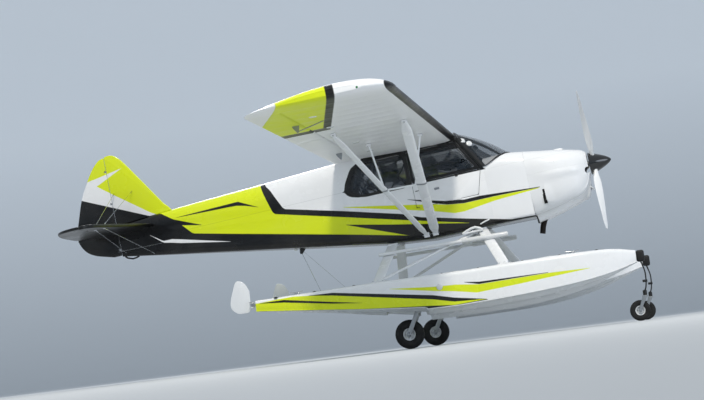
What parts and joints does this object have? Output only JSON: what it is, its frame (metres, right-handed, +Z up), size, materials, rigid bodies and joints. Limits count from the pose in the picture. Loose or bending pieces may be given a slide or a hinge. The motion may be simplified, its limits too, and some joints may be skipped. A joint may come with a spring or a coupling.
{
  "type": "light floatplane",
  "caption": "Tandem high-wing light aircraft on twin amphibious floats, wheels down, with struts, split side door, flaps and turning propeller.",
  "frame": {"origin": "on the ground, under the middle of the length, where the wheels stand", "axes": "+X forward to the nose, +Y to the left wing tip, +Z up"},
  "size_m": [7.4291, 10.4374, 3.043],
  "materials": {
    "cabin_fabric": "gloss",
    "lime_fabric": "gloss",
    "white_fabric": "gloss",
    "black_fabric": "gloss",
    "cowl_paint": "gloss",
    "door_paint": "gloss",
    "engine_metal": "satin",
    "black_trim": "satin",
    "glazing": "polished",
    "seat_fabric": "matte",
    "strut_paint": "gloss",
    "spinner_gloss": "gloss",
    "blade_white": "gloss",
    "float_white": "gloss",
    "gear_metal": "satin",
    "gear_black": "satin",
    "tyre_rubber": "matte",
    "rim_white": "gloss"
  },
  "bodies": {
    "airframe": {"cabin_shell": "cabin_fabric", "rear_fuselage": "lime_fabric", "boot_cowl": "cowl_paint", "cowl_upper": "cowl_paint", "cowl_lower": "cowl_paint", "engine_block": "engine_metal", "instrument_panel": "black_trim", "windscreen": "glazing", "skylight": "glazing", "rear_window_right": "glazing", "rear_window_left": "glazing", "front_window_left": "glazing", "seat_front": "seat_fabric", "seat_rear": "seat_fabric", "wing_left": "white_fabric", "wing_right": "white_fabric", "lift_strut_front_left": "strut_paint", "lift_strut_front_right": "strut_paint", "lift_strut_rear_left": "strut_paint", "lift_strut_rear_right": "strut_paint", "fin": "lime_fabric", "stabilizer_left": "black_fabric", "stabilizer_right": "black_fabric", "float_left": "float_white", "float_right": "float_white", "float_struts_front": "strut_paint", "float_struts_rear": "strut_paint", "boarding_step_left": "strut_paint", "boarding_step_right": "strut_paint", "main_leg_left": "gear_metal", "main_leg_right": "gear_metal", "nose_leg_left": "gear_black", "nose_leg_right": "gear_black"},
    "propeller": {"spinner": "spinner_gloss", "propeller_blades": "blade_white"},
    "door_upper_leaf": {"door_upper": "black_trim", "door_glass": "glazing"},
    "door_lower_leaf": {"door_lower": "door_paint"},
    "flap_l": {"flap_left": "white_fabric"},
    "flap_r": {"flap_right": "white_fabric"},
    "aileron_l": {"aileron_left": "white_fabric"},
    "aileron_r": {"aileron_right": "white_fabric"},
    "elevators": {"elevator_left": "black_fabric", "elevator_right": "black_fabric"},
    "rudder_blade": {"rudder": "lime_fabric"},
    "main_wheel_l": {"main_tyre_left": "tyre_rubber", "main_rim_left": "rim_white"},
    "main_wheel_r": {"main_tyre_right": "tyre_rubber", "main_rim_right": "rim_white"},
    "caster_l": {"nose_fork_left": "gear_metal"},
    "caster_r": {"nose_fork_right": "gear_metal"},
    "nose_wheel_l": {"nose_tyre_left": "tyre_rubber", "nose_rim_left": "rim_white"},
    "nose_wheel_r": {"nose_tyre_right": "tyre_rubber", "nose_rim_right": "rim_white"},
    "water_rudder_l": {"water_rudder_left": "strut_paint"},
    "water_rudder_r": {"water_rudder_right": "strut_paint"}
  },
  "joints": [
    {"name": "propeller_spin", "type": "hinge", "parent": "airframe", "child": "propeller", "pos_m": [3.21506, 0, 2.05896], "axis": [0.9965, 0, 0.0837], "continuous": true},
    {"name": "main_wheel_left_spin", "type": "hinge", "parent": "airframe", "child": "main_wheel_l", "pos_m": [0.7695, 1.12, 0.18], "axis": [0, 1, 0], "continuous": true},
    {"name": "main_wheel_right_spin", "type": "hinge", "parent": "airframe", "child": "main_wheel_r", "pos_m": [0.7695, -1.12, 0.18], "axis": [0, 1, 0], "continuous": true},
    {"name": "nose_caster_left", "type": "hinge", "parent": "airframe", "child": "caster_l", "pos_m": [3.6645, 1.12, 0.3], "axis": [0, 0, 1], "range_deg": [-45, 45]},
    {"name": "nose_caster_right", "type": "hinge", "parent": "airframe", "child": "caster_r", "pos_m": [3.6645, -1.12, 0.3], "axis": [0, 0, 1], "range_deg": [-45, 45]},
    {"name": "nose_wheel_left_spin", "type": "hinge", "parent": "caster_l", "child": "nose_wheel_l", "pos_m": [3.5845, 1.12, 0.125], "axis": [0, 1, 0], "continuous": true},
    {"name": "nose_wheel_right_spin", "type": "hinge", "parent": "caster_r", "child": "nose_wheel_r", "pos_m": [3.5845, -1.12, 0.125], "axis": [0, 1, 0], "continuous": true},
    {"name": "aileron_left_hinge", "type": "hinge", "parent": "airframe", "child": "aileron_l", "pos_m": [0.26141, 3.77632, 2.6122], "axis": [-0.002, 0.9997, 0.0244], "range_deg": [-18, 18]},
    {"name": "aileron_right_hinge", "type": "hinge", "parent": "airframe", "child": "aileron_r", "pos_m": [0.26141, -3.77632, 2.6122], "axis": [0.002, 0.9997, -0.0244], "range_deg": [-18, 18]},
    {"name": "flap_left_hinge", "type": "hinge", "parent": "airframe", "child": "flap_l", "pos_m": [0.26597, 1.54598, 2.55789], "axis": [0.002, -0.9997, -0.0244], "range_deg": [0, 50]},
    {"name": "flap_right_hinge", "type": "hinge", "parent": "airframe", "child": "flap_r", "pos_m": [0.26597, -1.54598, 2.55789], "axis": [-0.002, -0.9997, 0.0244], "range_deg": [0, 50]},
    {"name": "elevator_hinge", "type": "hinge", "parent": "airframe", "child": "elevators", "pos_m": [-3.16396, 0, 1.99495], "axis": [0, 1, 0], "range_deg": [-20, 25]},
    {"name": "rudder_hinge", "type": "hinge", "parent": "airframe", "child": "rudder_blade", "pos_m": [-3.16647, 0, 2.02485], "axis": [-0.0837, 0, 0.9965], "range_deg": [-25, 25]},
    {"name": "water_rudder_left_steer", "type": "hinge", "parent": "airframe", "child": "water_rudder_l", "pos_m": [-1.1555, 1.12, 0.78], "axis": [0, 0, 1], "range_deg": [-30, 30]},
    {"name": "water_rudder_right_steer", "type": "hinge", "parent": "airframe", "child": "water_rudder_r", "pos_m": [-1.1555, -1.12, 0.78], "axis": [0, 0, 1], "range_deg": [-30, 30]},
    {"name": "door_upper_hinge", "type": "hinge", "parent": "airframe", "child": "door_upper_leaf", "pos_m": [0.87905, -0.37, 2.48699], "axis": [-0.9965, 0, -0.0837], "range_deg": [0, 85]},
    {"name": "door_lower_hinge", "type": "hinge", "parent": "airframe", "child": "door_lower_leaf", "pos_m": [0.9398, -0.37, 1.76353], "axis": [0.9965, 0, 0.0837], "range_deg": [0, 110]}
  ],
  "couplings": [
    {"joint": "aileron_right_hinge", "follows": "aileron_left_hinge", "ratio": -1},
    {"joint": "flap_right_hinge", "follows": "flap_left_hinge", "ratio": 1},
    {"joint": "water_rudder_right_steer", "follows": "water_rudder_left_steer", "ratio": 1}
  ]
}
